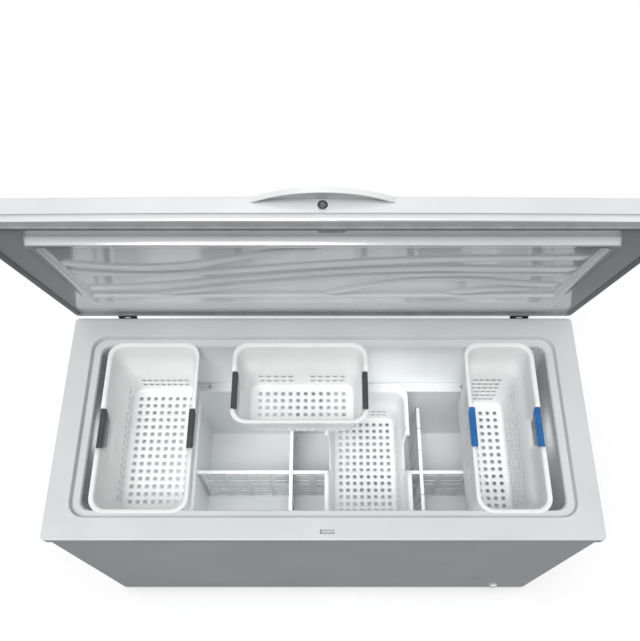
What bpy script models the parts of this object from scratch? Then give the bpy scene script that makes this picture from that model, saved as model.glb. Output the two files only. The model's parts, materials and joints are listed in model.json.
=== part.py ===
"""Chest freezer: cabinet, lid on spring hinges, four baskets, floor dividers, cooling circuit.

Design coordinates: x = 0 on the centre line, y = 0 at the front edge of the top frame,
z = 0 on its top face. The empty "freezer" lifts them so that the feet stand on z = 0.
The lid is modelled closed, about its hinge line, and the empty "lid_hinge" holds it open.
"""

import math

import bmesh
import bpy
from mathutils import Matrix, Vector

# ---------------------------------------------------------------- driving dimensions, metres
WIDTH = 1.520
DEPTH = 0.688
CABINET_HEIGHT = 0.803      # top frame's top face down to the wrap's lower edge
FOOT_HEIGHT = 0.020
GAP = 0.0003                # between pieces that touch

DECK_OVERHANG = 0.006       # top frame past the wrap, all round
DECK_SKIRT = 0.024
DECK_FLAT = 0.064           # outer edge to the step down
DECK_STEP = 0.018           # depth of the sunk strip that carries the baskets
DECK_STRIP = 0.021          # width of that strip
DECK_WALL = 0.0025
DECK_LIP = 0.0045           # the strip's inner lip, below the strip

SHEET = 0.0012              # steel wrap
LINER_WALL = 0.0015
LINER_DEPTH = 0.7375        # top frame's top face to the liner's floor
LINER_RADIUS = 0.030
LINER_FILLET = 0.004
EVAPORATOR_GAP = 0.0085     # liner to foam
CONDENSER_GAP = 0.0065      # foam to wrap
HUMP_X = -0.444             # right face of the step over the compressor
HUMP_TOP = -0.455
HUMP_FOAM = 0.050

RAIL_Z = -0.270
RAIL_WIDTH = 0.033
RAIL_THICK = 0.005

BASKET_WALL = 0.0025
BASKET_RIM = 0.003
BASKET_FILLET = 0.014
NOTCH_LENGTH = 0.125        # at the rim; its ends slope in towards the bottom
NOTCH_SLOPE = 0.45          # how much of its depth each end slopes in
CLIP_HEIGHT = 0.022

DIVIDER_THICK = 0.012
DIVIDER_HEIGHT = 0.280
DIVIDER_LONG_Y = 0.344
DIVIDER_CROSS_X = (-0.114, 0.340)

LID_THICK = 0.052
LID_TRIM = 0.0165           # strip of the inner panel that shows under the lid's skin
LID_OVER_BACK = 0.004
LID_LENGTH = 0.696
LID_BOW = 0.010             # front edge bulges this much at mid width
LID_SEAT = 0.010            # inner face above the top frame when closed
LID_OPEN_DEG = 73.8
LID_SKIN = 0.0010
PANEL_WALL = 0.002
PLUG_HEIGHT = 0.019
PLUG_HALF_WIDTH = 0.655
PLUG_FROM_BACK = 0.103
PLUG_LENGTH = 0.517
PAN_DEPTH = 0.010
PAN_MARGINS = (0.025, 0.135, 0.020)   # at the ends, towards the hinge, towards the front
GASKET_INSET = 0.008
GASKET_WIDTH = 0.012

HANDLE_HALF_WIDTH = 0.150
HANDLE_REACH = 0.048
HANDLE_HEIGHT = 0.012       # of the lip that the fingers pull
HANDLE_PLATE = 0.0033
HANDLE_LIP = 0.004

LOCK_HEIGHT = 0.032         # barrel's axis above the lid's inner face
LOCK_RADIUS = 0.011
LOCK_PLATE = 0.0135
CAM_LENGTH = 0.052
CAM_Y = 0.023
STRIKE_X = (-0.009, 0.031)

HINGE_X = 0.600
HINGE_BEHIND = 0.0055       # hinge line behind the top frame
HINGE_ABOVE = 0.003
KNUCKLE_RADIUS = 0.0042
PIN_RADIUS = 0.0020
PIN_CLEARANCE = 0.00015
HINGE_WIDTH = 0.056

DRAIN_X = 0.627
DRAIN_Y = 0.130
DRAIN_RADIUS = 0.012
DRAIN_TUBE = 0.008

# rim's x and y range, its top, depth, width of the rim's flange (x, y), how far the walls lean
# in by the bottom (x, y), middle and depth of the notches in the left and right sides, and the
# colour of the handle clips that bridge them; the lower basket's notches are left open
STRIP_Z = -DECK_STEP + BASKET_RIM + GAP
RAIL_RIM_Z = RAIL_Z + BASKET_RIM + GAP
BASKETS = {
    "basket_left": dict(x=(-0.650, -0.374), y=(0.078, 0.610), top=STRIP_Z, depth=0.210,
                        flange=(0.014, 0.014),
                        draft=(0.018, 0.040), notch=(0.3300, 0.045), clip="clip_grey"),
    "basket_centre": dict(x=(-0.273, 0.133), y=(0.345, 0.610), top=STRIP_Z, depth=0.190,
                          flange=(0.014, 0.014),
                          draft=(0.020, 0.036), notch=(0.4510, 0.045), clip="clip_grey"),
    "basket_lower": dict(x=(0.003, 0.281), y=(0.094, 0.594), top=RAIL_RIM_Z, depth=0.170,
                         flange=(0.014, 0.032),
                         draft=(0.018, 0.022), notch=(0.3450, 0.042), clip=None),
    "basket_right": dict(x=(0.425, 0.634), y=(0.078, 0.610), top=STRIP_Z, depth=0.300,
                         flange=(0.014, 0.014),
                         draft=(0.016, 0.050), notch=(0.3350, 0.060), clip="clip_blue"),
}

# ---------------------------------------------------------------- derived places
OPENING_INSET = DECK_FLAT + DECK_WALL + DECK_STRIP
CAVITY_X = WIDTH / 2 - OPENING_INSET - 0.0010
CAVITY_Y = (OPENING_INSET + 0.0010, DEPTH - OPENING_INSET - 0.0010)
FLOOR_Z = -LINER_DEPTH
SHELL_X = WIDTH / 2 - DECK_OVERHANG
SHELL_Y = (DECK_OVERHANG, DEPTH - DECK_OVERHANG)
SHELL_BOTTOM = -CABINET_HEIGHT
PIVOT_Y = DEPTH + HINGE_BEHIND
PIVOT_Z = HINGE_ABOVE
DECK_HEIGHT = CABINET_HEIGHT + FOOT_HEIGHT
LID_BACK = DEPTH + LID_OVER_BACK
LID_FRONT = LID_BACK - LID_LENGTH
LID_ROUND = 0.0025


def back_reach():
    """How far the open lid's skin stands behind the front edge of the top frame."""
    angle = math.radians(LID_OPEN_DEG)
    top = LID_SEAT + LID_THICK
    corner = [(0, top - LID_ROUND), (LID_ROUND * 0.3, top - LID_ROUND * 0.3), (LID_ROUND, top)]
    return max(PIVOT_Y + (LID_BACK - inset - PIVOT_Y) * math.cos(angle) + (z - PIVOT_Z) * math.sin(angle)
               for inset, z in corner)


FRONT_Y = -back_reach() / 2


# ---------------------------------------------------------------- scene, materials, placing
for old in list(bpy.data.objects):
    bpy.data.objects.remove(old)

parts = bpy.data.collections.new("chest_freezer")
cutters = bpy.data.collections.new("cutters")
cutters.hide_render = True
for group in (parts, cutters):
    bpy.context.scene.collection.children.link(group)


def material(name, colour, roughness, metallic=0.0):
    made = bpy.data.materials.new(name)
    made.use_nodes = True
    shader = made.node_tree.nodes["Principled BSDF"]
    shader.inputs["Base Color"].default_value = (*colour, 1)
    shader.inputs["Roughness"].default_value = roughness
    shader.inputs["Metallic"].default_value = metallic
    return made


MATERIALS = {
    "white_paint": material("white_paint", (0.80, 0.80, 0.80), 0.35),
    "white_plastic": material("white_plastic", (0.78, 0.78, 0.77), 0.4),
    "lid_lining": material("lid_lining", (0.76, 0.77, 0.77), 0.2),
    "liner_sheet": material("liner_sheet", (0.62, 0.63, 0.64), 0.35),
    "basket_plastic": material("basket_plastic", (0.80, 0.81, 0.80), 0.45),
    "clip_grey": material("clip_grey", (0.16, 0.17, 0.18), 0.5),
    "clip_blue": material("clip_blue", (0.01, 0.13, 0.42), 0.4),
    "gasket_rubber": material("gasket_rubber", (0.42, 0.42, 0.42), 0.7),
    "foam": material("foam", (0.80, 0.70, 0.42), 0.9),
    "black_steel": material("black_steel", (0.03, 0.03, 0.03), 0.45),
    "zinc_steel": material("zinc_steel", (0.55, 0.56, 0.57), 0.35, 1.0),
    "copper": material("copper", (0.72, 0.38, 0.22), 0.3, 1.0),
    "chrome": material("chrome", (0.75, 0.75, 0.76), 0.12, 1.0),
    "black_plastic": material("black_plastic", (0.04, 0.04, 0.04), 0.5),
    "green_lens": material("green_lens", (0.10, 0.55, 0.18), 0.2),
}


def empty(name, location, rotation=(0, 0, 0), parent=None):
    made = bpy.data.objects.new(name, None)
    made.location = location
    made.rotation_euler = rotation
    made.parent = parent
    parts.objects.link(made)
    return made


ROOT = empty("freezer", (0, FRONT_Y, DECK_HEIGHT))
LID = empty("lid_hinge", (0, PIVOT_Y, PIVOT_Z), (math.radians(-LID_OPEN_DEG), 0, 0), ROOT)
bpy.context.view_layer.update()


def add(name, mesh, surface=None, parent=ROOT, cutter=False):
    """An object of this mesh under its parent; a lid piece's mesh is moved to the hinge line."""
    made = bpy.data.objects.new(name, mesh)
    made.parent = parent
    if parent == LID:
        mesh.transform(Matrix.Translation((0, -PIVOT_Y, -PIVOT_Z)))
    if surface:
        mesh.materials.append(MATERIALS[surface])
    (cutters if cutter else parts).objects.link(made)
    if cutter:
        made.hide_render = True
        made.display_type = "WIRE"
    return made


def boolean(target, other, operation="DIFFERENCE"):
    change = target.modifiers.new(other.name, "BOOLEAN")
    change.operation = operation
    change.object = other


# ---------------------------------------------------------------- shapes
def ring(x, y, radius, z, bow=0.0, arc=3, front=1):
    """Points round a rectangle with round corners, anticlockwise; its front side may bulge."""
    corners = [(x[1], y[0], -90), (x[1], y[1], 0), (x[0], y[1], 90), (x[0], y[0], 180)]
    half = (x[1] - x[0]) / 2
    middle = (x[1] + x[0]) / 2
    points = []
    for cx, cy, start in corners:
        inner = (cx - math.copysign(radius, cx - middle), cy + (radius if cy == y[0] else -radius))
        for step in range(arc + 1):
            angle = math.radians(start + 90 * step / arc)
            points.append((inner[0] + radius * math.cos(angle), inner[1] + radius * math.sin(angle)))
    first, last = points[-1], points[0]
    points += [(first[0] + (last[0] - first[0]) * k / front, y[0]) for k in range(1, front)]
    depth = y[1] - y[0]
    return [(px, py - bow * (1 - ((px - middle) / half) ** 2) * max(0, 1 - (py - y[0]) / depth), z)
            for px, py in points]


def loft(name, rings, closed=False):
    """A skin through the rings: up the outside, down the inside. Open ends are capped."""
    mesh = bpy.data.meshes.new(name)
    count = len(rings[0])
    faces = []
    for low in range(len(rings) if closed else len(rings) - 1):
        high = (low + 1) % len(rings)
        for k in range(count):
            after = (k + 1) % count
            faces.append((low * count + k, low * count + after, high * count + after, high * count + k))
    if not closed:
        faces.append(tuple(reversed(range(count))))
        faces.append(tuple(range((len(rings) - 1) * count, len(rings) * count)))
    mesh.from_pydata([point for one in rings for point in one], [], faces)
    return mesh


def inset_ring(x_half, y, inset, radius, z, **more):
    """A ring set in by the same amount on all four sides."""
    return ring((-x_half + inset, x_half - inset), (y[0] + inset, y[1] - inset), radius, z, **more)


def box_mesh(name, x, y, z, bevel=0.0, segments=2):
    work = bmesh.new()
    size = Vector((x[1] - x[0], y[1] - y[0], z[1] - z[0]))
    centre = Vector((x[0] + x[1], y[0] + y[1], z[0] + z[1])) / 2
    bmesh.ops.create_cube(work, size=1, matrix=Matrix.Translation(centre) @ Matrix.Diagonal((*size, 1)))
    if bevel:
        bmesh.ops.bevel(work, geom=work.edges[:], offset=bevel, segments=segments, affect="EDGES",
                        profile=0.5)
    mesh = bpy.data.meshes.new(name)
    work.to_mesh(mesh)
    work.free()
    return mesh


def prism_mesh(name, low, high):
    """A straight-sided block between two like outlines, `low` seen anticlockwise from `high`."""
    count = len(low)
    mesh = bpy.data.meshes.new(name)
    sides = [(k, (k + 1) % count, count + (k + 1) % count, count + k) for k in range(count)]
    caps = [tuple(reversed(range(count))), tuple(range(count, 2 * count))]
    mesh.from_pydata(low + high, [], sides + caps)
    return mesh


def rod_mesh(name, start, end, radius, sides=24, end_radius=None):
    """A cylinder, or a cone, from one point to another."""
    work = bmesh.new()
    along = Vector(end) - Vector(start)
    turn = along.to_track_quat("Z", "Y").to_matrix().to_4x4()
    place = Matrix.Translation((Vector(start) + Vector(end)) / 2) @ turn
    bmesh.ops.create_cone(work, cap_ends=True, segments=sides, radius1=radius,
                          radius2=radius if end_radius is None else end_radius,
                          depth=along.length, matrix=place)
    mesh = bpy.data.meshes.new(name)
    work.to_mesh(mesh)
    work.free()
    smooth(mesh)
    return mesh


def smooth(mesh, degrees=35):
    mesh.shade_smooth()
    mesh.set_sharp_from_angle(angle=math.radians(degrees))


def box(name, x, y, z, surface=None, bevel=0.0, parent=ROOT, cutter=False, segments=2):
    return add(name, box_mesh(name, x, y, z, bevel, segments), surface, parent, cutter)


def rod(name, start, end, radius, surface=None, parent=ROOT, cutter=False, sides=24):
    return add(name, rod_mesh(name, start, end, radius, sides), surface, parent, cutter)


def tube(name, points, radius, surface, parent=ROOT, resolution=1):
    """A pipe along the points."""
    curve = bpy.data.curves.new(name, "CURVE")
    curve.dimensions = "3D"
    spline = curve.splines.new("POLY")
    spline.points.add(len(points) - 1)
    for spot, point in zip(spline.points, points):
        spot.co = (*point, 1)
    curve.bevel_depth = radius
    curve.bevel_resolution = resolution
    curve.use_fill_caps = True
    curve.materials.append(MATERIALS[surface])
    made = bpy.data.objects.new(name, curve)
    made.parent = parent
    parts.objects.link(made)
    return made


# ---------------------------------------------------------------- cabinet
def wrap_ring(inset, z, radius=0.012):
    return inset_ring(SHELL_X, SHELL_Y, inset, radius - min(inset, radius / 2), z, arc=5)


BAY_X = HUMP_X - LINER_WALL - HUMP_FOAM
BAY_TOP = HUMP_TOP - LINER_WALL - HUMP_FOAM
COVER_Y = (0.110, 0.578)
COVER_Z = (-0.760, -0.520)
GLAND_AT = (-0.690, -0.700)


def cabinet_shell():
    top = -0.0035
    lip = 0.012
    rings = [wrap_ring(lip, SHELL_BOTTOM), wrap_ring(0, SHELL_BOTTOM), wrap_ring(0, top),
             wrap_ring(SHEET, top),
             wrap_ring(SHEET, SHELL_BOTTOM + SHEET), wrap_ring(lip, SHELL_BOTTOM + SHEET)]
    shell = add("cabinet_shell", loft("cabinet_shell", rings, closed=True), "white_paint")
    border = 0.008
    boolean(shell, box("cut_cover", (-SHELL_X - 0.01, -SHELL_X + 0.01),
                       (COVER_Y[0] + border, COVER_Y[1] - border),
                       (COVER_Z[0] + border, COVER_Z[1] - border), cutter=True))
    boolean(shell, rod("cut_gland", (GLAND_AT[0], SHELL_Y[1] - 0.01, GLAND_AT[1]),
                       (GLAND_AT[0], SHELL_Y[1] + 0.01, GLAND_AT[1]), 0.0095, cutter=True))
    boolean(shell, rod("cut_drain_front", (DRAIN_X, SHELL_Y[0] - 0.01, DRAIN_OUT_Z),
                       (DRAIN_X, SHELL_Y[0] + 0.01, DRAIN_OUT_Z), DRAIN_TUBE + 0.0005, cutter=True))


def base_pan():
    inset = SHEET + GAP
    low = SHELL_BOTTOM + SHEET + GAP
    rings = [wrap_ring(inset, low), wrap_ring(inset, low + 0.010), wrap_ring(inset + SHEET, low + 0.010),
             wrap_ring(inset + SHEET, low + SHEET)]
    add("base_pan", loft("base_pan", rings), "zinc_steel")


def liner():
    """Tub with the step over the compressor, which is an angle of sheet let into its walls."""
    def level(out, z, radius=LINER_RADIUS):
        return inset_ring(CAVITY_X, CAVITY_Y, -out, radius + out, z)
    top = -DECK_STEP - DECK_LIP - GAP
    soft = LINER_FILLET
    rings = [level(LINER_WALL - soft, FLOOR_Z - LINER_WALL), level(LINER_WALL, FLOOR_Z + soft),
             level(LINER_WALL, top), level(0, top), level(0, FLOOR_Z + soft), level(-soft, FLOOR_Z)]
    tub = add("liner", loft("liner", rings), "liner_sheet")
    reach = LINER_WALL / 2
    cut = box("cut_hump", (-WIDTH / 2, HUMP_X - LINER_WALL), (0, DEPTH), (-1, HUMP_TOP - LINER_WALL),
              cutter=True)
    boolean(tub, cut)
    span_y = (CAVITY_Y[0] - reach, CAVITY_Y[1] + reach)
    angle = box("liner_step", (-CAVITY_X - reach, HUMP_X), span_y, (FLOOR_Z - reach, HUMP_TOP), cutter=True)
    boolean(angle, cut)
    boolean(tub, angle, "UNION")
    boolean(tub, rod("cut_drain", (DRAIN_X, DRAIN_Y, FLOOR_Z - 0.02), (DRAIN_X, DRAIN_Y, FLOOR_Z + 0.02),
                     DRAIN_RADIUS, cutter=True))


DRAIN_OUT_Z = FLOOR_Z - LINER_WALL - 0.0275
FOAM_TOP = -0.0285
FOAM_BOTTOM = SHELL_BOTTOM + 2 * SHEET + 2 * GAP + 0.0005


def insulation():
    """Foam between wrap and liner, with room for the tubes, the compressor bay and the drain."""
    outer = SHEET + CONDENSER_GAP
    inner_x = CAVITY_X + LINER_WALL + EVAPORATOR_GAP
    inner_y = (CAVITY_Y[0] - LINER_WALL - EVAPORATOR_GAP, CAVITY_Y[1] + LINER_WALL + EVAPORATOR_GAP)
    floor = FLOOR_Z - LINER_WALL - GAP
    foam_bottom = FOAM_BOTTOM + 0.010
    corner = 0.020
    rings = [wrap_ring(outer, foam_bottom), wrap_ring(outer, FOAM_TOP),
             inset_ring(inner_x, inner_y, 0, corner, FOAM_TOP, arc=5),
             inset_ring(inner_x, inner_y, 0, corner, floor, arc=5)]
    foam = add("insulation", loft("insulation", rings), "foam")
    clear = LINER_WALL + GAP
    boolean(foam, box("foam_step", (-inner_x - 0.01, HUMP_X - clear),
                      (inner_y[0] - 0.01, inner_y[1] + 0.01),
                      (floor - 0.01, HUMP_TOP - clear), cutter=True), "UNION")
    boolean(foam, box("cut_bay", (-WIDTH / 2, BAY_X), (0, DEPTH), (-1, BAY_TOP), cutter=True))
    room = DRAIN_TUBE + 0.004
    boolean(foam, box("cut_drain_way", (DRAIN_X - room, DRAIN_X + room), (0, DRAIN_Y + room + 0.006),
                      (DRAIN_OUT_Z - room, floor + 0.005), cutter=True))


def deck_frame():
    """Top frame: outer skirt, flat, step, sunk strip and a short lip inside the opening."""
    side = WIDTH / 2
    y = (0.0, DEPTH)
    strip = DECK_FLAT + DECK_WALL
    lip = strip + DECK_STRIP

    def level(inset, z, radius):
        return inset_ring(side, y, inset, radius, z, arc=5)
    rings = [level(0.0000, -DECK_SKIRT, 0.014), level(0.0000, -0.004, 0.014), level(0.0012, -0.0012, 0.013),
             level(0.0040, 0.0, 0.012), level(DECK_FLAT - 0.002, 0.0, 0.046), level(DECK_FLAT, -0.002,
                                                                                    0.044),
             level(strip, -DECK_STEP, 0.042), level(lip - 0.002, -DECK_STEP, 0.030),
             level(lip, -DECK_STEP - 0.002, 0.029), level(lip, -DECK_STEP - DECK_LIP, 0.029),
             level(lip - DECK_WALL, -DECK_STEP - DECK_LIP, 0.031),
             level(lip - DECK_WALL, -DECK_STEP - DECK_WALL, 0.031),
             level(strip - DECK_WALL, -DECK_STEP - DECK_WALL, 0.043), level(DECK_FLAT - 0.0045, -DECK_WALL,
                                                                            0.046),
             level(DECK_WALL, -DECK_WALL, 0.010), level(DECK_WALL, -DECK_SKIRT, 0.010)]
    frame = add("deck_frame", loft("deck_frame", rings, closed=True), "white_plastic")
    boolean(frame, box("cut_strike", STRIKE_X, (CAM_Y - 0.006, CAM_Y + 0.006), (-0.03, 0.03), cutter=True))


def basket_rails():
    reach = CAVITY_X - 0.032
    for name, y in (("basket_rail_back", (CAVITY_Y[1] - RAIL_WIDTH, CAVITY_Y[1] - GAP)),
                    ("basket_rail_front", (CAVITY_Y[0] + GAP, CAVITY_Y[0] + RAIL_WIDTH))):
        box(name, (-reach, reach), y, (RAIL_Z - RAIL_THICK, RAIL_Z), "white_plastic", 0.0015)


def feet():
    radius = 0.020
    for end, x in (("left", -0.700), ("right", 0.700)):
        for side, y in (("front", 0.060), ("back", DEPTH - 0.060)):
            rod(f"foot_{side}_{end}", (x, y, -DECK_HEIGHT), (x, y, SHELL_BOTTOM + SHEET), radius,
                "black_plastic", sides=16)


# ---------------------------------------------------------------- cooling circuit
def winding(x_half, y, radius, top, pitch, turns, arc):
    points = []
    for turn in range(turns):
        loop = inset_ring(x_half, y, 0, radius, 0, arc=arc)
        for k, (px, py, _) in enumerate(loop):
            points.append((px, py, top - pitch * (turn + k / len(loop))))
    return points


def tubes():
    middle = LINER_WALL + EVAPORATOR_GAP / 2
    y = (CAVITY_Y[0] - middle, CAVITY_Y[1] + middle)
    tube("evaporator_tube", winding(CAVITY_X + middle, y, 0.031, -0.080, 0.072, 5, 3), 0.0030,
         "copper")
    middle = SHEET + CONDENSER_GAP / 2
    y = (SHELL_Y[0] + middle, SHELL_Y[1] - middle)
    tube("condenser_tube", winding(SHELL_X - middle, y, 0.009, -0.100, 0.080, 4, 2), 0.0022,
         "zinc_steel")


COMPRESSOR_AT = (-0.628, 0.500)
PLATE_Z = SHELL_BOTTOM + 2 * SHEET + 2 * GAP


def compressor():
    """A welded shell turned about a vertical axis, its plate, the relay cover, drier and pipes."""
    x, y = COMPRESSOR_AT
    low = PLATE_Z + 0.0203
    box("compressor_plate", (x - 0.100, x + 0.100), (y - 0.080, y + 0.080), (PLATE_Z, PLATE_Z + 0.003),
        "black_steel", 0.0008, segments=1)
    profile = [(0, 0.185), (0.030, 0.182), (0.060, 0.170), (0.078, 0.145), (0.084, 0.115), (0.088, 0.112),
               (0.088, 0.106), (0.084, 0.103), (0.084, 0.045), (0.070, 0.018), (0.040, 0.004), (0, 0)]
    mesh = bpy.data.meshes.new("compressor")
    mesh.from_pydata([(r, 0, h) for r, h in profile], [(k, k + 1) for k in range(len(profile) - 1)], [])
    body = add("compressor", mesh, "black_steel")
    body.location = (x, y, low)
    turn = body.modifiers.new("turn", "SCREW")
    turn.steps = turn.render_steps = 28
    turn.use_merge_vertices = True
    turn.merge_threshold = 0.00005
    turn.use_smooth_shade = True
    feet_plate = box("compressor_feet", (x - 0.095, x + 0.095), (y - 0.040, y + 0.040),
                     (PLATE_Z + 0.0033, low + 0.012),
                     cutter=True)
    boolean(body, feet_plate, "UNION")
    box("relay_cover", (x - 0.030, x + 0.030), (y - 0.122, y - 0.0848), (low + 0.045, low + 0.105),
        "black_plastic", 0.004)
    top = low + 0.150
    ceiling = BAY_TOP - GAP - SHEET - GAP
    dome = 0.0823
    tube("discharge_tube", [(x + dome, y, top - 0.020), (x + 0.100, y, top - 0.018), (x + 0.108, y, top),
                            (x + 0.108, y, ceiling)], 0.0030, "copper")
    tube("suction_tube", [(x - dome, y, top - 0.020), (x - 0.100, y, top - 0.018), (x - 0.108, y, top),
                          (x - 0.108, y, ceiling)], 0.0030, "copper")
    spot = (x + 0.060, 0.250)
    rod("filter_drier", (*spot, low + 0.060), (*spot, low + 0.180), 0.010, "copper", sides=16)
    tube("capillary_tube", [(*spot, low + 0.1803), (*spot, low + 0.215),
                            (spot[0] - 0.020, spot[1], low + 0.235),
                            (spot[0] - 0.020, spot[1], ceiling)], 0.0012, "copper")


def bay_lining():
    """Sheet angle between the compressor bay and the foam."""
    side = BAY_X - GAP
    top = BAY_TOP - GAP
    y = (SHELL_Y[0] + SHEET + 0.004, SHELL_Y[1] - SHEET - 0.004)
    left = -SHELL_X + SHEET + 0.004
    lining = box("bay_lining", (left, side), y, (PLATE_Z + 0.012, top), "zinc_steel")
    boolean(lining, box("cut_lining", (-WIDTH, side - SHEET), (-1, 2), (-2, top - SHEET), cutter=True))


KNOB_AT = (0.170, -0.580)
KNOB_RADIUS = 0.022
LIGHT_AT = (0.170, -0.630)
LIGHT_RADIUS = 0.004


def compressor_cover():
    out = -SHELL_X - GAP
    face = out - 0.0045
    cover = box("compressor_cover", (face, out), COVER_Y, COVER_Z, "white_plastic", 0.0012, segments=1)
    slots = box("cut_louvres", (face - 0.01, out + 0.01), (0.250, 0.550), (-0.740, -0.732), cutter=True)
    repeat = slots.modifiers.new("rows", "ARRAY")
    repeat.use_relative_offset = False
    repeat.use_constant_offset = True
    repeat.constant_offset_displace = (0, 0, 0.020)
    repeat.count = 10
    boolean(cover, slots)
    for name, (y, z), radius in (("cut_knob", KNOB_AT, KNOB_RADIUS + 0.0008),
                                 ("cut_light", LIGHT_AT, LIGHT_RADIUS + GAP)):
        boolean(cover, rod(name, (face - 0.01, y, z), (out + 0.01, y, z), radius, cutter=True))
    y, z = KNOB_AT
    knob = rod("thermostat_knob", (face - 0.0008, y, z), (out + 0.010, y, z), KNOB_RADIUS, "black_plastic")
    boolean(knob, box("cut_pointer", (face - 0.01, face + 0.0006), (y - 0.0012, y + 0.0012), (z, z + 0.03),
                      cutter=True))
    y, z = LIGHT_AT
    rod("power_light", (face - 0.0006, y, z), (out + 0.006, y, z), LIGHT_RADIUS, "green_lens", sides=16)


def power_gland():
    """Moulded gland where the mains lead leaves the back."""
    x, z = GLAND_AT
    gland = rod("power_gland", (x, SHELL_Y[1] - 0.012, z), (x, SHELL_Y[1] + GAP + 0.004, z), 0.0090,
                "black_plastic", sides=16)
    boolean(gland, rod("gland_collar", (x, SHELL_Y[1] + GAP, z), (x, SHELL_Y[1] + 0.0045, z), 0.013,
                       cutter=True), "UNION")
    boolean(gland, rod("cut_lead", (x, SHELL_Y[1] - 0.02, z), (x, SHELL_Y[1] + 0.02, z), 0.0040,
                       cutter=True, sides=16))


def drain():
    """Plug in the liner's floor, tube through the foam, cap on the front."""
    floor = FLOOR_Z - LINER_WALL - GAP
    bend = 0.012
    run = [(DRAIN_X, DRAIN_Y, floor), (DRAIN_X, DRAIN_Y, DRAIN_OUT_Z + bend)]
    run += [(DRAIN_X, DRAIN_Y - bend + bend * math.cos(a), DRAIN_OUT_Z + bend - bend * math.sin(a))
            for a in (math.radians(step) for step in (30, 60, 90))]
    run.append((DRAIN_X, SHELL_Y[0] - GAP, DRAIN_OUT_Z))
    tube("drain_tube", run, DRAIN_TUBE, "white_plastic", resolution=2)
    plug = rod("drain_plug", (DRAIN_X, DRAIN_Y, FLOOR_Z - LINER_WALL), (DRAIN_X, DRAIN_Y, FLOOR_Z + 0.004),
               DRAIN_RADIUS - 0.0004, "white_plastic", sides=20)
    boolean(plug, rod("plug_head", (DRAIN_X, DRAIN_Y, FLOOR_Z + GAP), (DRAIN_X, DRAIN_Y, FLOOR_Z + 0.0045),
                      0.018,
                      cutter=True, sides=20), "UNION")
    face = SHELL_Y[0] - 2 * GAP
    cap = rod("drain_cap", (DRAIN_X, face - 0.0048, DRAIN_OUT_Z), (DRAIN_X, face, DRAIN_OUT_Z), 0.0140,
              "white_plastic")
    boolean(cap, box("cut_cap_slot", (DRAIN_X - 0.0090, DRAIN_X + 0.0090), (face - 0.01, face - 0.0030),
                     (DRAIN_OUT_Z - 0.0014, DRAIN_OUT_Z + 0.0014), cutter=True))


# ---------------------------------------------------------------- hinges
def hinge(end, sign):
    """Bracket on the cabinet with two knuckles, leaf on the lid with one, pin and spring."""
    middle = sign * HINGE_X
    x = (middle - HINGE_WIDTH / 2, middle + HINGE_WIDTH / 2)
    third = HINGE_WIDTH / 3
    plate = (DEPTH + 0.0008, DEPTH + 0.0030)
    base = box(f"hinge_base_{end}", x, plate, (-0.110, PIVOT_Z - 0.002), "black_steel")
    pad = box(f"base_pad_{end}", x, (SHELL_Y[1] + GAP, plate[1] - 0.0005), (-0.110, -DECK_SKIRT - 0.003),
              cutter=True)
    boolean(base, pad, "UNION")
    knuckle = rod(f"base_knuckle_{end}", (x[0], PIVOT_Y, PIVOT_Z), (x[1], PIVOT_Y, PIVOT_Z), KNUCKLE_RADIUS,
                  cutter=True, sides=16)
    boolean(base, knuckle, "UNION")
    seat = box(f"cut_seat_{end}", (x[0] + third - 0.0003, x[1] - third + 0.0003),
               (DEPTH - 0.01, DEPTH + 0.02),
               (-0.0035, 0.02), cutter=True)
    boolean(base, seat)
    bore = rod(f"cut_base_bore_{end}", (x[0] - 0.01, PIVOT_Y, PIVOT_Z), (x[1] + 0.01, PIVOT_Y, PIVOT_Z),
               PIN_RADIUS + PIN_CLEARANCE, cutter=True, sides=16)
    boolean(base, bore)
    rod(f"hinge_pin_{end}", (x[0] - 0.001, PIVOT_Y, PIVOT_Z), (x[1] + 0.001, PIVOT_Y, PIVOT_Z), PIN_RADIUS,
        "zinc_steel", sides=16)
    coil = 0.0050
    turns = 7
    steps = 8
    spring = [(middle + coil * math.cos(math.tau * k / steps),
               plate[1] + 0.0075 + coil * math.sin(math.tau * k / steps),
               -0.098 + 0.070 * k / (turns * steps)) for k in range(turns * steps + 1)]
    tube(f"hinge_spring_{end}", spring, 0.0012, "zinc_steel")
    inner = (x[0] + third + 0.0003, x[1] - third - 0.0003)
    leaf_y = (LID_BACK + GAP, LID_BACK + 0.0025)
    leaf = box(f"hinge_leaf_{end}", inner, leaf_y, (PIVOT_Z, LID_SEAT + 0.045), "black_steel", parent=LID)
    turned = rod(f"leaf_knuckle_{end}", (inner[0], PIVOT_Y, PIVOT_Z), (inner[1], PIVOT_Y, PIVOT_Z),
                 KNUCKLE_RADIUS,
                 parent=LID, cutter=True, sides=16)
    boolean(leaf, turned, "UNION")
    leaf_bore = rod(f"cut_leaf_bore_{end}", (inner[0] - 0.01, PIVOT_Y, PIVOT_Z),
                    (inner[1] + 0.01, PIVOT_Y, PIVOT_Z),
                    PIN_RADIUS + PIN_CLEARANCE, parent=LID, cutter=True, sides=16)
    boolean(leaf, leaf_bore)


# ---------------------------------------------------------------- lid, modelled closed
def lid_ring(inset, z, radius=0.014, bow=LID_BOW):
    return inset_ring(WIDTH / 2, (LID_FRONT, LID_BACK), inset, radius, z, bow=bow, arc=5, front=14)


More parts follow.
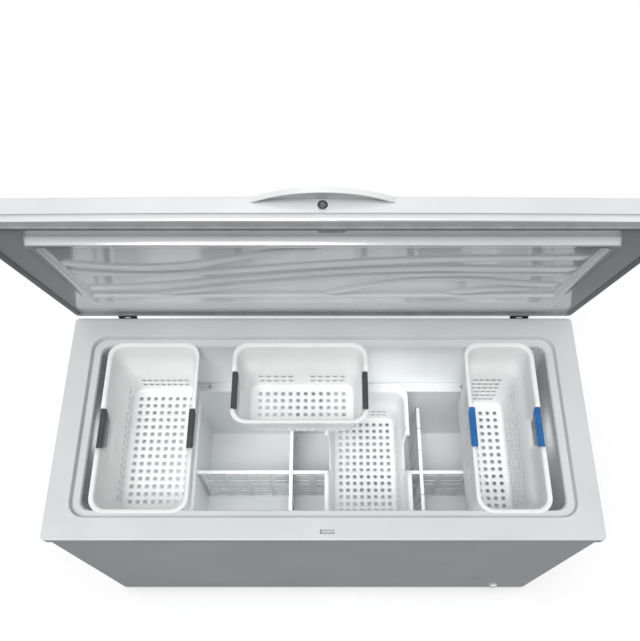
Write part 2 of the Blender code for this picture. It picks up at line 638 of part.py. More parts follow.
def lid_shell():
    top = LID_SEAT + LID_THICK
    low = LID_SEAT + LID_TRIM
    inside = top - LID_SKIN
    rings = [lid_ring(LID_SKIN + 0.004, inside, 0.010), lid_ring(LID_SKIN, inside - LID_ROUND, 0.013),
             lid_ring(LID_SKIN, low, 0.013), lid_ring(0, low), lid_ring(0, top - LID_ROUND),
             lid_ring(LID_ROUND * 0.3, top - LID_ROUND * 0.3, 0.013), lid_ring(LID_ROUND, top, 0.010)]
    shell = add("lid_shell", loft("lid_shell", rings), "white_paint", LID)
    boolean(shell, rod("cut_lock_hole", (0, LID_FRONT - 0.05, LOCK_Z), (0, LID_FRONT + 0.05, LOCK_Z),
                       LOCK_RADIUS + 0.0003, parent=LID, cutter=True))


LOCK_Z = LID_SEAT + LOCK_HEIGHT


def lid_panel():
    """Inner panel: strip under the skin, flange, raised plug with a shallow pan in it."""
    plug_y = (LID_BACK - PLUG_FROM_BACK - PLUG_LENGTH, LID_BACK - PLUG_FROM_BACK)
    ends, back, front = PAN_MARGINS
    wall = PANEL_WALL
    low = LID_SEAT
    crest = LID_SEAT - PLUG_HEIGHT
    floor = crest + PAN_DEPTH

    def plug(inset, z, radius):
        return ring((-PLUG_HALF_WIDTH + inset, PLUG_HALF_WIDTH - inset),
                    (plug_y[0] + inset, plug_y[1] - inset),
                    radius, z, arc=5, front=14)

    def pan(inset, z, radius):
        return ring((-PLUG_HALF_WIDTH + ends + inset, PLUG_HALF_WIDTH - ends - inset),
                    (plug_y[0] + front + inset, plug_y[1] - back - inset), radius, z, arc=5, front=14)
    rings = [pan(0.006, floor, 0.006), pan(0, crest, 0.010), plug(0.004, crest, 0.014), plug(0, low, 0.018),
             lid_ring(0.003, low, 0.012), lid_ring(0.0008, low + 0.0015, 0.013),
             lid_ring(0.0008, low + LID_TRIM - 0.0006, 0.013), lid_ring(0.0008 + wall,
                                                                        low + LID_TRIM - 0.0006, 0.012),
             lid_ring(0.0008 + wall, low + wall, 0.011), plug(wall, low + wall, 0.016),
             plug(wall + 0.004, crest + wall, 0.012), pan(-wall, crest + wall, 0.012), pan(0.006 - wall,
                                                                                           floor + wall, 0.008)]
    panel = add("lid_panel", loft("lid_panel", rings), "lid_lining", LID)
    boolean(panel, box("cut_cam_way", (-0.010, CAM_LENGTH), (CAM_Y - 0.0055, CAM_Y + 0.0055),
                       (0, LID_SEAT + 0.006),
                       parent=LID, cutter=True))
    boolean(panel, box("cut_lead_way", (LEAD_X - 0.0045, LEAD_X + 0.0045),
                       (LID_BACK - 0.004, LID_BACK + 0.01),
                       (0, LID_SEAT + 0.0125), parent=LID, cutter=True))


def lid_foam():
    low = LID_SEAT + PANEL_WALL + GAP
    top = LID_SEAT + LID_THICK - LID_SKIN - 0.0045
    rings = [lid_ring(0.0035, low, 0.010), lid_ring(0.0035, top - 0.001, 0.010),
             lid_ring(0.0045, top, 0.009)]
    foam = add("lid_foam", loft("lid_foam", rings), "foam", LID)
    boolean(foam, box("cut_lock_room", (-0.075, 0.075), (LID_FRONT - 0.05, CAM_Y + 0.008), (0, 0.1),
                      parent=LID, cutter=True))
    boolean(foam, box("cut_lead_room", (LEAD_X - 0.008, LEAD_X + 0.008), (LID_BACK - 0.02, LID_BACK + 0.01),
                      (0, LID_SEAT + 0.014), parent=LID, cutter=True))


def lid_gasket():
    inner = GASKET_INSET + GASKET_WIDTH
    low = GAP
    top = LID_SEAT - GAP
    rings = [lid_ring(GASKET_INSET + 0.002, low, 0.010, 0), lid_ring(GASKET_INSET, low + 0.003, 0.012, 0),
             lid_ring(GASKET_INSET, top, 0.012, 0), lid_ring(inner, top, 0.006, 0), lid_ring(inner,
                                                                                             low + 0.003, 0.006, 0),
             lid_ring(inner - 0.002, low, 0.007, 0)]
    add("lid_gasket", loft("lid_gasket", rings, closed=True), "gasket_rubber", LID)


def crescent(name, radius, centre, chord, z, steps=28):
    """A flat segment of a disc: a straight chord at the back, an arc in front, between two heights."""
    spread = math.acos((centre - chord) / radius)
    outline = [(radius * math.sin(a), centre - radius * math.cos(a))
               for a in (spread * (2 * k / steps - 1) for k in range(steps + 1))]
    return prism_mesh(name, *([(px, py, level) for px, py in outline] for level in z))


def lid_handle():
    """A thin plate off the front of the lid, with a lip turned down along its arc."""
    face = LID_FRONT - LID_BOW - GAP
    top = LID_SEAT + LID_THICK - LID_ROUND
    radius = (HANDLE_HALF_WIDTH ** 2 + HANDLE_REACH ** 2) / (2 * HANDLE_REACH)
    centre = face - HANDLE_REACH + radius
    outer = crescent("lid_handle", radius, centre, face, (top - HANDLE_HEIGHT, top))
    grip = add("lid_handle", outer, "white_plastic", LID)
    round_off = grip.modifiers.new("soft_edges", "BEVEL")
    round_off.width = 0.0012
    round_off.segments = 2
    round_off.limit_method = "ANGLE"
    round_off.angle_limit = math.radians(50)
    hollow = crescent("finger_hollow", radius - HANDLE_LIP, centre, face + 0.005,
                      (top - 0.05, top - HANDLE_PLATE))
    boolean(grip, add("finger_hollow", hollow, parent=LID, cutter=True))


def lid_lock():
    face = LID_FRONT - LID_BOW
    plate = rod("lock_plate", (0, face - GAP, LOCK_Z), (0, face - GAP - 0.003, LOCK_Z), LOCK_PLATE,
                "white_plastic", LID)
    boolean(plate, rod("cut_plate", (0, face - 0.02, LOCK_Z), (0, face + 0.02, LOCK_Z),
                       LOCK_RADIUS + 0.0003,
                       parent=LID, cutter=True))
    barrel = rod("lock_barrel", (0, face - 0.0045, LOCK_Z), (0, CAM_Y - 0.0028, LOCK_Z), LOCK_RADIUS,
                 "chrome", LID)
    boolean(barrel, box("cut_keyway", (-0.0012, 0.0012), (face - 0.01, face + 0.004),
                        (LOCK_Z - 0.0045, LOCK_Z + 0.0045),
                        parent=LID, cutter=True))
    box("lock_cam", (-0.009, CAM_LENGTH), (CAM_Y - 0.0025, CAM_Y + 0.0025),
        (LOCK_Z - 0.008, LOCK_Z + 0.008),
        "zinc_steel", 0.001, LID, segments=1)


LEAD_X = -0.545


def lead_sleeve():
    """Sleeve in the lid's back edge, through which a lead reaches the cabinet."""
    z = LID_SEAT + 0.0068
    rod("lead_sleeve", (LEAD_X, LID_BACK + 0.004, z), (LEAD_X, LID_BACK - 0.016, z), 0.0036,
        "white_plastic", LID,
        sides=16)


# ---------------------------------------------------------------- baskets and dividers
def notch_outline(top, middle, reach, above, gap):
    """A trapezium from above the rim down to `reach` below it, `gap` larger at each end."""
    wide = NOTCH_LENGTH / 2 + gap
    low, high = wide - NOTCH_SLOPE * reach, wide + NOTCH_SLOPE * above
    return [(middle - low, top - reach), (middle + low, top - reach), (middle + high, top + above),
            (middle - high, top + above)]


def drawn_along_x(name, x, outline):
    return prism_mesh(name, *([(at, py, pz) for py, pz in outline] for at in x))


def basket(name, x, y, top, depth, flange, draft, notch, clip):
    """Tapered tub with a flat rim; a notch in its left and right sides takes the handle clips."""
    wall, rim, fillet = BASKET_WALL, BASKET_RIM, BASKET_FILLET

    def level(inset, share, drop, radius, extra=0.0):
        dx, dy = (inset[k] + draft[k] * share + extra for k in (0, 1))
        return ring((x[0] + dx, x[1] - dx), (y[0] + dy, y[1] - dy), radius, top - drop)
    edge = (0, 0)
    out = (flange[0] - wall, flange[1] - wall)
    low = 1 - fillet / depth
    rings = [level(out, 1, depth, 0.022, fillet), level(out, 1, depth - fillet * 0.3, 0.028, fillet * 0.3),
             level(out, low, depth - fillet, 0.032), level(out, 0, rim, 0.038), level(edge, 0, rim, 0.045),
             level(edge, 0, 0, 0.045), level(flange, 0, 0, 0.036), level(flange, low, depth - fillet,
                                                                         0.030),
             level(flange, 1, depth - wall - fillet * 0.3, 0.026, fillet * 0.3),
             level(flange, 1, depth - wall, 0.020, fillet)]
    made = add(name, loft(name, rings), "basket_plastic")
    middle, reach = notch
    deep = flange[0] + draft[0] * reach / depth + 0.004
    for side, sign, outer in (("left", 1, x[0]), ("right", -1, x[1])):
        across = sorted((outer - sign * 0.01, outer + sign * deep))
        outline = notch_outline(top, middle, reach, 0.01, GAP)
        boolean(made, add(f"notch_{name}_{side}", drawn_along_x(f"notch_{name}_{side}", across, outline),
                          cutter=True))
        if clip:
            bar = sorted((outer + sign * 0.0010, outer + sign * (flange[0] + 0.0040)))
            outline = notch_outline(top, middle, CLIP_HEIGHT, 0, 0)
            made_clip = add(f"{name}_clip_{side}", drawn_along_x(f"{name}_clip_{side}", bar, outline), clip)
            soft = made_clip.modifiers.new("soft_edges", "BEVEL")
            soft.width = 0.003
            soft.segments = 2


def dividers():
    """Lengthwise divider from the step to the right wall, and two cross ones halved over it."""
    low = FLOOR_Z + GAP
    top = FLOOR_Z + DIVIDER_HEIGHT
    half = DIVIDER_THICK / 2
    play = 0.0006
    mid = (low + top) / 2
    long_y = (DIVIDER_LONG_Y - half, DIVIDER_LONG_Y + half)
    divider = box("divider_long", (HUMP_X + 0.002, CAVITY_X - 0.0045), long_y, (low, top), "basket_plastic")
    cross_y = (CAVITY_Y[0] + 0.007, CAVITY_Y[1] - 0.010)
    for name, x in zip(("divider_left", "divider_right"), DIVIDER_CROSS_X):
        cross = box(name, (x - half, x + half), cross_y, (low, top), "basket_plastic")
        boolean(divider, box(f"cut_long_{name}", (x - half - play, x + half + play), (-1, 2), (mid, 0),
                             cutter=True))
        boolean(cross, box(f"cut_{name}", (-2, 2), (long_y[0] - play, long_y[1] + play), (-1, mid + play),
                           cutter=True))


cabinet_shell()
base_pan()
liner()
insulation()
deck_frame()
basket_rails()
feet()
tubes()
compressor()
bay_lining()
compressor_cover()
power_gland()
drain()
for hinge_end, hinge_sign in (("left", -1), ("right", 1)):
    hinge(hinge_end, hinge_sign)
lid_shell()
lid_panel()
lid_foam()
lid_gasket()
lid_handle()
lid_lock()
lead_sleeve()
for basket_name, values in BASKETS.items():
    basket(basket_name, **values)
dividers()
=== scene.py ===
# %% [markdown]
# # A chest freezer, open and packed with baskets
#
# The real object is a painted steel cabinet with a moulded plastic top frame. A foamed lid stands
# open on two spring hinges, and four moulded baskets hang or stand in the tub. The measured CAD model
# is loaded first and never changed: it says where everything is, and which body each piece moves with.
# What the CAD can't show, such as pierced baskets, slotted dividers and the waves pressed into the
# lid's lining, is made here as surfaces, each one a formula worked out for whole arrays at once.

# %% Load the measured frame
import json

import bpy
import numpy as np
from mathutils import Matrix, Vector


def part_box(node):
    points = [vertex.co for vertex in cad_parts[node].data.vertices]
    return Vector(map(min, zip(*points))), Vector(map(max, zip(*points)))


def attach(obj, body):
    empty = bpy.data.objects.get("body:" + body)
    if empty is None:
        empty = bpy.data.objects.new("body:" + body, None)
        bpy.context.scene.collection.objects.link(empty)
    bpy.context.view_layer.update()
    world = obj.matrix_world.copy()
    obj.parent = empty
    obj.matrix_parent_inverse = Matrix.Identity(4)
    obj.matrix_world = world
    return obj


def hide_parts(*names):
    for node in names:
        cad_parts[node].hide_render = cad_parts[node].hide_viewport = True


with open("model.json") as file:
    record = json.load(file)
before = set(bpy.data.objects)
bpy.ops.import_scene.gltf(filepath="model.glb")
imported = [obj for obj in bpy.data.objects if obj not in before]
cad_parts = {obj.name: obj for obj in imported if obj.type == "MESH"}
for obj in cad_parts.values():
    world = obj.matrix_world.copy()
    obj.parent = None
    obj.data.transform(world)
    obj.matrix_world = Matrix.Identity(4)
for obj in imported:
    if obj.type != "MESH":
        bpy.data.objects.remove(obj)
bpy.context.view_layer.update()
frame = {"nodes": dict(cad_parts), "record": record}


# %% Where the top frame is
def corners(node):
    """The low and the high corner of a CAD node's box, as arrays."""
    low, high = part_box(node)
    return np.array(low), np.array(high)


deck_low, deck_high = corners("deck_frame")
FRONT, BACK, DECK_TOP = deck_low[1], deck_high[1], deck_high[2]
HALF_WIDTH = deck_high[0]
print(f"top frame {2 * HALF_WIDTH:.3f} m wide, {BACK - FRONT:.3f} m deep, at {DECK_TOP:.3f} m")

# %% [markdown]
# ## Camera
#
# The camera comes before the pieces, so that every later choice can be judged from it. It stands in
# front of the freezer and well above it, and looks steeply down. The lens is shifted, not tilted
# further, which keeps the upright edges almost parallel as in a catalogue view.

# %% Camera
camera = bpy.data.objects.new("camera", bpy.data.cameras.new("camera"))
bpy.context.scene.collection.objects.link(camera)
camera.location = (0.0055, FRONT - 0.4126, DECK_TOP + 1.8134)
camera.rotation_euler = (np.radians(22.994), 0, 0)
camera.data.sensor_fit = "HORIZONTAL"
camera.data.sensor_width = 36
camera.data.lens = 38.51
camera.data.shift_x = -0.0083
camera.data.shift_y = 0.1514
camera.data.clip_end = 60
bpy.context.scene.camera = camera
print("camera at", [round(v, 3) for v in camera.location])

# %% [markdown]
# ## Finishes
#
# Nearly all of this object is white, so its surfaces differ in gloss and in the small relief that
# breaks up the gloss: sprayed powder has the ripple of orange peel, moulded plastic has a fine spark
# texture, and a vacuum-formed lining is smooth and glossy. Each finish is one Principled shader with
# a slow colour drift, a roughness drift and a bump whose scale comes from a real size in millimetres.

# %% Colours and nodes
def linear(code):
    """sRGB hex to linear light: c / 12.92 below 0.04045, ((c + 0.055) / 1.055) ** 2.4 above."""
    value = np.array([int(code[k:k + 2], 16) for k in (1, 3, 5)]) / 255
    return (*np.where(value <= 0.04045, value / 12.92, ((value + 0.055) / 1.055) ** 2.4), 1.0)


def add_node(tree, kind, settings=(), **links):
    """A node, its settings by socket or property name, and links that end at its named sockets."""
    node = tree.nodes.new(kind)
    for key, value in dict(settings).items():
        if key in node.inputs:
            node.inputs[key].default_value = value
        else:
            setattr(node, key, value)
    for key, source in links.items():
        tree.links.new(source, node.inputs[key.replace("_", " ")])
    return node


def finish(name, dark, light, roughness, patch=180, grain=1.2, depth=0.05, ior=1.5, metallic=0.0,
           coat=0.0, spread=0.05):
    """A material: colour drifts between two hex values over `patch` mm, grain `grain` mm, `depth` mm."""
    made = bpy.data.materials.new(name)
    made.use_nodes = True
    tree = made.node_tree
    shader = tree.nodes["Principled BSDF"]
    shader.inputs["Metallic"].default_value = metallic
    if metallic < 0.5:
        shader.inputs["IOR"].default_value = ior
    shader.inputs["Coat Weight"].default_value = coat
    shader.inputs["Coat Roughness"].default_value = 0.08
    place = add_node(tree, "ShaderNodeTexCoord").outputs["Object"]
    drift = add_node(tree, "ShaderNodeTexNoise", {"Scale": 1000 / patch, "Detail": 3.0}, Vector=place)
    ramp = add_node(tree, "ShaderNodeValToRGB", Fac=drift.outputs["Fac"])
    ramp.color_ramp.elements[0].position, ramp.color_ramp.elements[1].position = 0.3, 0.7
    ramp.color_ramp.elements[0].color, ramp.color_ramp.elements[1].color = linear(dark), linear(light)
    tree.links.new(ramp.outputs["Color"], shader.inputs["Base Color"])
    rough = add_node(tree, "ShaderNodeMapRange", {"To Min": max(roughness - spread, 0.02),
                                                  "To Max": roughness + spread}, Value=drift.outputs["Fac"])
    tree.links.new(rough.outputs["Result"], shader.inputs["Roughness"])
    relief = add_node(tree, "ShaderNodeTexNoise", {"Scale": 1000 / grain, "Detail": 2.0}, Vector=place)
    bump = add_node(tree, "ShaderNodeBump", {"Strength": 0.6, "Distance": depth / 1000},
                    Height=relief.outputs["Fac"])
    tree.links.new(bump.outputs["Normal"], shader.inputs["Normal"])
    return made


# %% The finishes of this freezer
# Powder-coated steel: sprayed polyester, baked; satin, with orange peel a few millimetres across.
powder_coat = finish("powder_coated_steel", "#E0E2E4", "#E8EAEC", 0.34, 260, 3.0, 0.05, 1.5, coat=0.2)
lid_coat = finish("powder_coated_lid_steel", "#DADBDC", "#E1E2E3", 0.32, 260, 3.0, 0.05, 1.5, coat=0.2)
# ABS, injection moulded with a fine spark texture: soft broad highlights on the top frame.
frame_abs = finish("moulded_abs", "#CFD1D2", "#D7D9DA", 0.38, 200, 0.9, 0.04, 1.53)
white_abs = finish("moulded_white_abs", "#E6E8E8", "#EEF0F0", 0.36, 60, 0.8, 0.03, 1.53)
# High-impact polystyrene sheet, vacuum formed: the glossiest face, it mirrors bright things softly.
lining_hips = finish("vacuum_formed_polystyrene", "#DFE2E3", "#E7EAEB", 0.17, 240, 9.0, 0.01, 1.59,
                     coat=0.9, spread=0.03)
# Liner: painted embossed sheet, satin, with the soft waviness of thin sheet over coiled pipe.
liner_paint = finish("painted_liner_sheet", "#DADDDE", "#E3E5E6", 0.30, 320, 5.0, 0.12, 1.5, coat=0.15)
# Polypropylene, moulded: waxy, low gloss.
basket_pp = finish("moulded_polypropylene", "#EDEEEE", "#F3F4F4", 0.42, 90, 0.8, 0.03, 1.49)
divider_pp = finish("moulded_divider_polypropylene", "#E4E6E7", "#ECEEEF", 0.44, 90, 0.8, 0.03, 1.49)
# Clips: the same resin with pigment and a coarser texture for the fingers.
clip_grey = finish("grey_polypropylene", "#3A3E42", "#474B4F", 0.45, 30, 0.7, 0.06, 1.49)
clip_blue = finish("blue_polypropylene", "#105C9F", "#1A70B8", 0.38, 30, 0.7, 0.05, 1.49)
# Gasket: plasticised PVC, matt and faintly dusty in its folds.
gasket_pvc = finish("soft_pvc", "#8C9092", "#9CA0A2", 0.62, 40, 1.5, 0.06, 1.53)
# Rigid polyurethane foam, blown in place: cells a millimetre or two across.
foam_pu = finish("polyurethane_foam", "#C9B47A", "#DCC991", 0.9, 60, 1.8, 0.6, 1.5)
# Metals keep the default IOR: bright zinc plate, drawn copper pipe, polished chrome.
zinc = finish("zinc_plated_steel", "#A9ADB0", "#C6C9CB", 0.34, 14, 1.0, 0.03, metallic=1.0)
copper = finish("drawn_copper", "#B4694A", "#CC835F", 0.30, 40, 0.8, 0.02, metallic=1.0)
chrome = finish("chromed_zinc_casting", "#C9CBCD", "#DADCDE", 0.10, 30, 2.0, 0.01, metallic=1.0,
                spread=0.02)
# Black parts: electro-dipped steel on the hinges and compressor, glass-filled nylon elsewhere.
black_steel = finish("electro_dipped_steel", "#141516", "#1E2021", 0.40, 30, 1.0, 0.04, 1.5)
black_nylon = finish("glass_filled_nylon", "#1A1B1C", "#262728", 0.48, 30, 0.7, 0.05, 1.53)
# Lens: tinted polycarbonate, clear gloss.
lens = finish("tinted_polycarbonate", "#1C8A3A", "#27A54A", 0.12, 10, 2.0, 0.01, 1.58, coat=0.5)
print(len(bpy.data.materials), "materials so far")

# %% Every CAD node gets its finish
FINISH_OF_SLOT = {
    "wrap_paint": powder_coat, "lid_paint": lid_coat, "pan_steel": zinc, "foam": foam_pu,
    "liner_sheet": liner_paint, "frame_plastic": frame_abs, "copper": copper, "tube_steel": zinc,
    "black_steel": black_steel, "black_plastic": black_nylon, "white_plastic": white_abs, "lens": lens,
    "lid_lining": lining_hips, "gasket": gasket_pvc, "chrome_trim": chrome, "basket_plastic": basket_pp,
    "divider_plastic": divider_pp, "clip_grey": clip_grey, "clip_blue": clip_blue,
}
for entry in frame["record"]["subparts"]:
    for place in frame["nodes"][entry["node"]].material_slots:
        place.material = FINISH_OF_SLOT[entry["material_slot"]]

# %% [markdown]
# ## Shared shapes
#
# Three ideas build all the pieces. A ring is a rectangle with round corners, cut into the same number
# of steps whatever its size, so rings stack into a wall. A floor is a plain grid whose border meets
# the last ring, each round corner closing to one point. A cell is any four-cornered face with a
# twelve-sided hole cut in it, which costs twelve small faces and keeps neighbours joined.

# %% Rings, walls and floors
def ring(x, y, radius, z, cells, bow=0.0, side_y=None):
    """Points round a rectangle, anticlockwise from the front left.

    Sides are even steps from arc to arc, corners are centre + radius * (cos a, sin a). A bow moves a
    point forwards by bow * (1 - (x / half width) squared), fading to nothing at the back. `side_y`
    gives the places along the left and right sides in place of even steps.
    """
    along_x, along_y, around = cells
    xs = np.linspace(x[0] + radius, x[1] - radius, along_x + 1)
    ys = np.linspace(y[0] + radius, y[1] - radius, along_y + 1) if side_y is None else side_y
    turn = np.linspace(0, np.pi / 2, around + 1)[:-1]
    runs = [np.stack([xs[:-1], np.full(along_x, y[0])], 1)]
    for centre, start, side in (
            ((x[1] - radius, y[0] + radius), -np.pi / 2, np.stack([np.full(along_y, x[1]), ys[:-1]], 1)),
            ((x[1] - radius, y[1] - radius), 0.0, np.stack([xs[:0:-1], np.full(along_x, y[1])], 1)),
            ((x[0] + radius, y[1] - radius), np.pi / 2, np.stack([np.full(along_y, x[0]), ys[:0:-1]], 1)),
            ((x[0] + radius, y[0] + radius), np.pi, np.zeros((0, 2)))):
        corner = np.stack([np.cos(start + turn), np.sin(start + turn)], 1) * radius + centre
        runs += [corner, side]
    flat = np.concatenate(runs)
    across = (flat[:, 0] - (x[0] + x[1]) / 2) / ((x[1] - x[0]) / 2)
    share = np.clip(1 - (flat[:, 1] - y[0]) / (y[1] - y[0]), 0, 1)
    flat[:, 1] -= bow * (1 - across ** 2) * share
    return np.column_stack([flat, np.full(len(flat), z)])


def wall_faces(rows, count):
    """Faces between rings: points k and k + 1 of one, then k + 1 and k of the next."""
    row, column = np.meshgrid(np.arange(rows - 1), np.arange(count), indexing="ij")
    after = (column + 1) % count
    return np.stack([row * count + column, row * count + after,
                     (row + 1) * count + after, (row + 1) * count + column], -1)


def floor_faces(cells, split, last_ring, start):
    """Grid faces, and the strip from the last ring to the grid's border.

    `split` ring steps on a long side meet each grid step; where two ring points share a border
    point, the face between them is a triangle.
    """
    along_x, along_y, around = cells
    deep = along_y // split
    index = start + np.arange((along_x + 1) * (deep + 1)).reshape(along_x + 1, deep + 1)
    step = np.arange(along_y) // split
    back_step = (np.arange(along_y) + split - 1) // split
    border = np.concatenate([
        index[:-1, 0], np.full(around, index[-1, 0]), index[-1, step],
        np.full(around, index[-1, -1]), index[:0:-1, -1], np.full(around, index[0, -1]),
        index[0, deep - back_step], np.full(around, index[0, 0])])
    count = len(border)
    a = last_ring + np.arange(count)
    strip = np.stack([a, np.roll(a, -1), np.roll(border, -1), border], 1)
    shared = strip[:, 2] == strip[:, 3]
    grid = np.stack([index[:-1, :-1], index[1:, :-1], index[1:, 1:], index[:-1, 1:]], -1)
    return grid, strip[~shared], strip[shared][:, :3]


def pierce(points, quads, half, shift=0.0, square=0.8):
    """Twelve-point holes: centre + half size * (cos a, sin a), each power `square` to flatten its sides.

    A hole's points are spread between the cell's corners by bilinear weights. Each side of the cell
    makes one face with the ring, each corner makes two triangles.
    """
    a, b, c, d = (points[quads[:, k]] for k in range(4))
    wide = np.linalg.norm(b - a + c - d, axis=1) / 2
    tall = np.linalg.norm(d - a + c - b, axis=1) / 2
    angle = np.radians(15 + 30 * np.arange(12))
    round_x = np.sign(np.cos(angle)) * np.abs(np.cos(angle)) ** square
    round_y = np.sign(np.sin(angle)) * np.abs(np.sin(angle)) ** square
    s = (0.5 + shift + half[0] / wide[:, None] * round_x)[..., None]
    t = (0.5 + half[1] / tall[:, None] * round_y)[..., None]
    holes = ((1 - s) * (1 - t) * a[:, None] + s * (1 - t) * b[:, None]
             + s * t * c[:, None] + (1 - s) * t * d[:, None])
    rings = len(points) + np.arange(12 * len(quads)).reshape(-1, 12)
    tip = quads[:, [2, 3, 0, 1]]
    sides = [np.stack([tip[:, k], tip[:, (k + 1) % 4], rings[:, (3 * k + 3) % 12],
                       rings[:, 3 * k + 2]], 1) for k in range(4)]
    tips = [np.stack([tip[:, k], rings[:, 3 * k + j + 1], rings[:, 3 * k + j]], 1)
            for k in range(4) for j in (0, 1)]
    return np.concatenate([points, holes.reshape(-1, 3)]), np.concatenate(sides), np.concatenate(tips)


def make_piece(name, points, faces, material, body, replaces=(), smooth_below=40, wall=None):
    """An object of these points and faces that rides on `body`.

    `wall` gives the sheet a thickness behind its face, and edges bent by more than `smooth_below`
    degrees stay sharp.
    """
    mesh = bpy.data.meshes.new(name)
    mesh.from_pydata(points.tolist(), [], [face for group in faces for face in group.tolist()])
    mesh.shade_smooth()
    mesh.set_sharp_from_angle(angle=np.radians(smooth_below))
    mesh.materials.append(material)
    piece = bpy.data.objects.new(name, mesh)
    bpy.context.scene.collection.objects.link(piece)
    if wall:
        solid = piece.modifiers.new("wall", "SOLIDIFY")
        solid.thickness = wall
        solid.offset = -1
    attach(piece, body)
    if replaces:
        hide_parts(*replaces)
    print(f"{name}: {len(mesh.vertices)} points, {len(mesh.polygons)} faces")
    return piece


def grid_points(x, y):
    """Points of the grid x by y, flattened: all of y for the first x, then for the next."""
    wide, deep = np.meshgrid(x, y, indexing="ij")
    return wide.ravel(), deep.ravel()


# %% [markdown]
# ## Baskets
#
# A real basket is one injection moulding: a flat rim, walls that lean in so that it leaves the mould,
# a stacking ledge part way down, rows of slots, and a floor of round holes about every 24 mm. The
# sheet is drawn once, on its inner face, and given its 2.5 mm wall at the end, so every hole gets a
# true edge. In the left and right walls a notch is left out, where the hand or a clip goes.

# %% Basket sizes
WALL = 0.0025
FILLET = 0.008          # where a wall meets the floor
SLOT_ROW = 0.021        # height of one row of slots
SLOT = (0.0068, 0.0034) # half a slot, along and up
SHORT_SLOT = (0.0042, 0.0034)
HOLE = 0.0064           # half a floor hole
HALF_NOTCH = 0.0625
LEDGE_STEP = 0.0014     # how far the wall steps in below the stacking ledge
BLANK_COLUMNS = (5, 6)  # cells left whole in the middle of the centre basket's back
BASKETS = {
    "basket_left": dict(flange=(0.014, 0.014), draft=(0.018, 0.040), notch=(0.3300, 0.045), ledge=0.105,
                        holes=(8, 15), pitch=(0.0235, 0.0248), slots={"back": 2, "front": 2, "sides": 2}),
    "basket_centre": dict(flange=(0.014, 0.014), draft=(0.020, 0.036), notch=(0.4510, 0.045), ledge=0.095,
                          holes=(12, 5), pitch=(0.0245, 0.0245), slots={"back": 2, "front": 2}),
    "basket_lower": dict(flange=(0.014, 0.032), draft=(0.018, 0.022), notch=(0.3450, 0.042), ledge=0.085,
                         holes=(8, 15), pitch=(0.0236, 0.0241), slots={"back": 2, "front": 2, "sides": 2}),
    "basket_right": dict(flange=(0.014, 0.014), draft=(0.016, 0.050), notch=(0.3350, 0.060), ledge=0.100,
                         holes=(5, 14), pitch=(0.0240, 0.0248), slots={"back": 6, "front": 6, "sides": 6},
                         split=2),
}


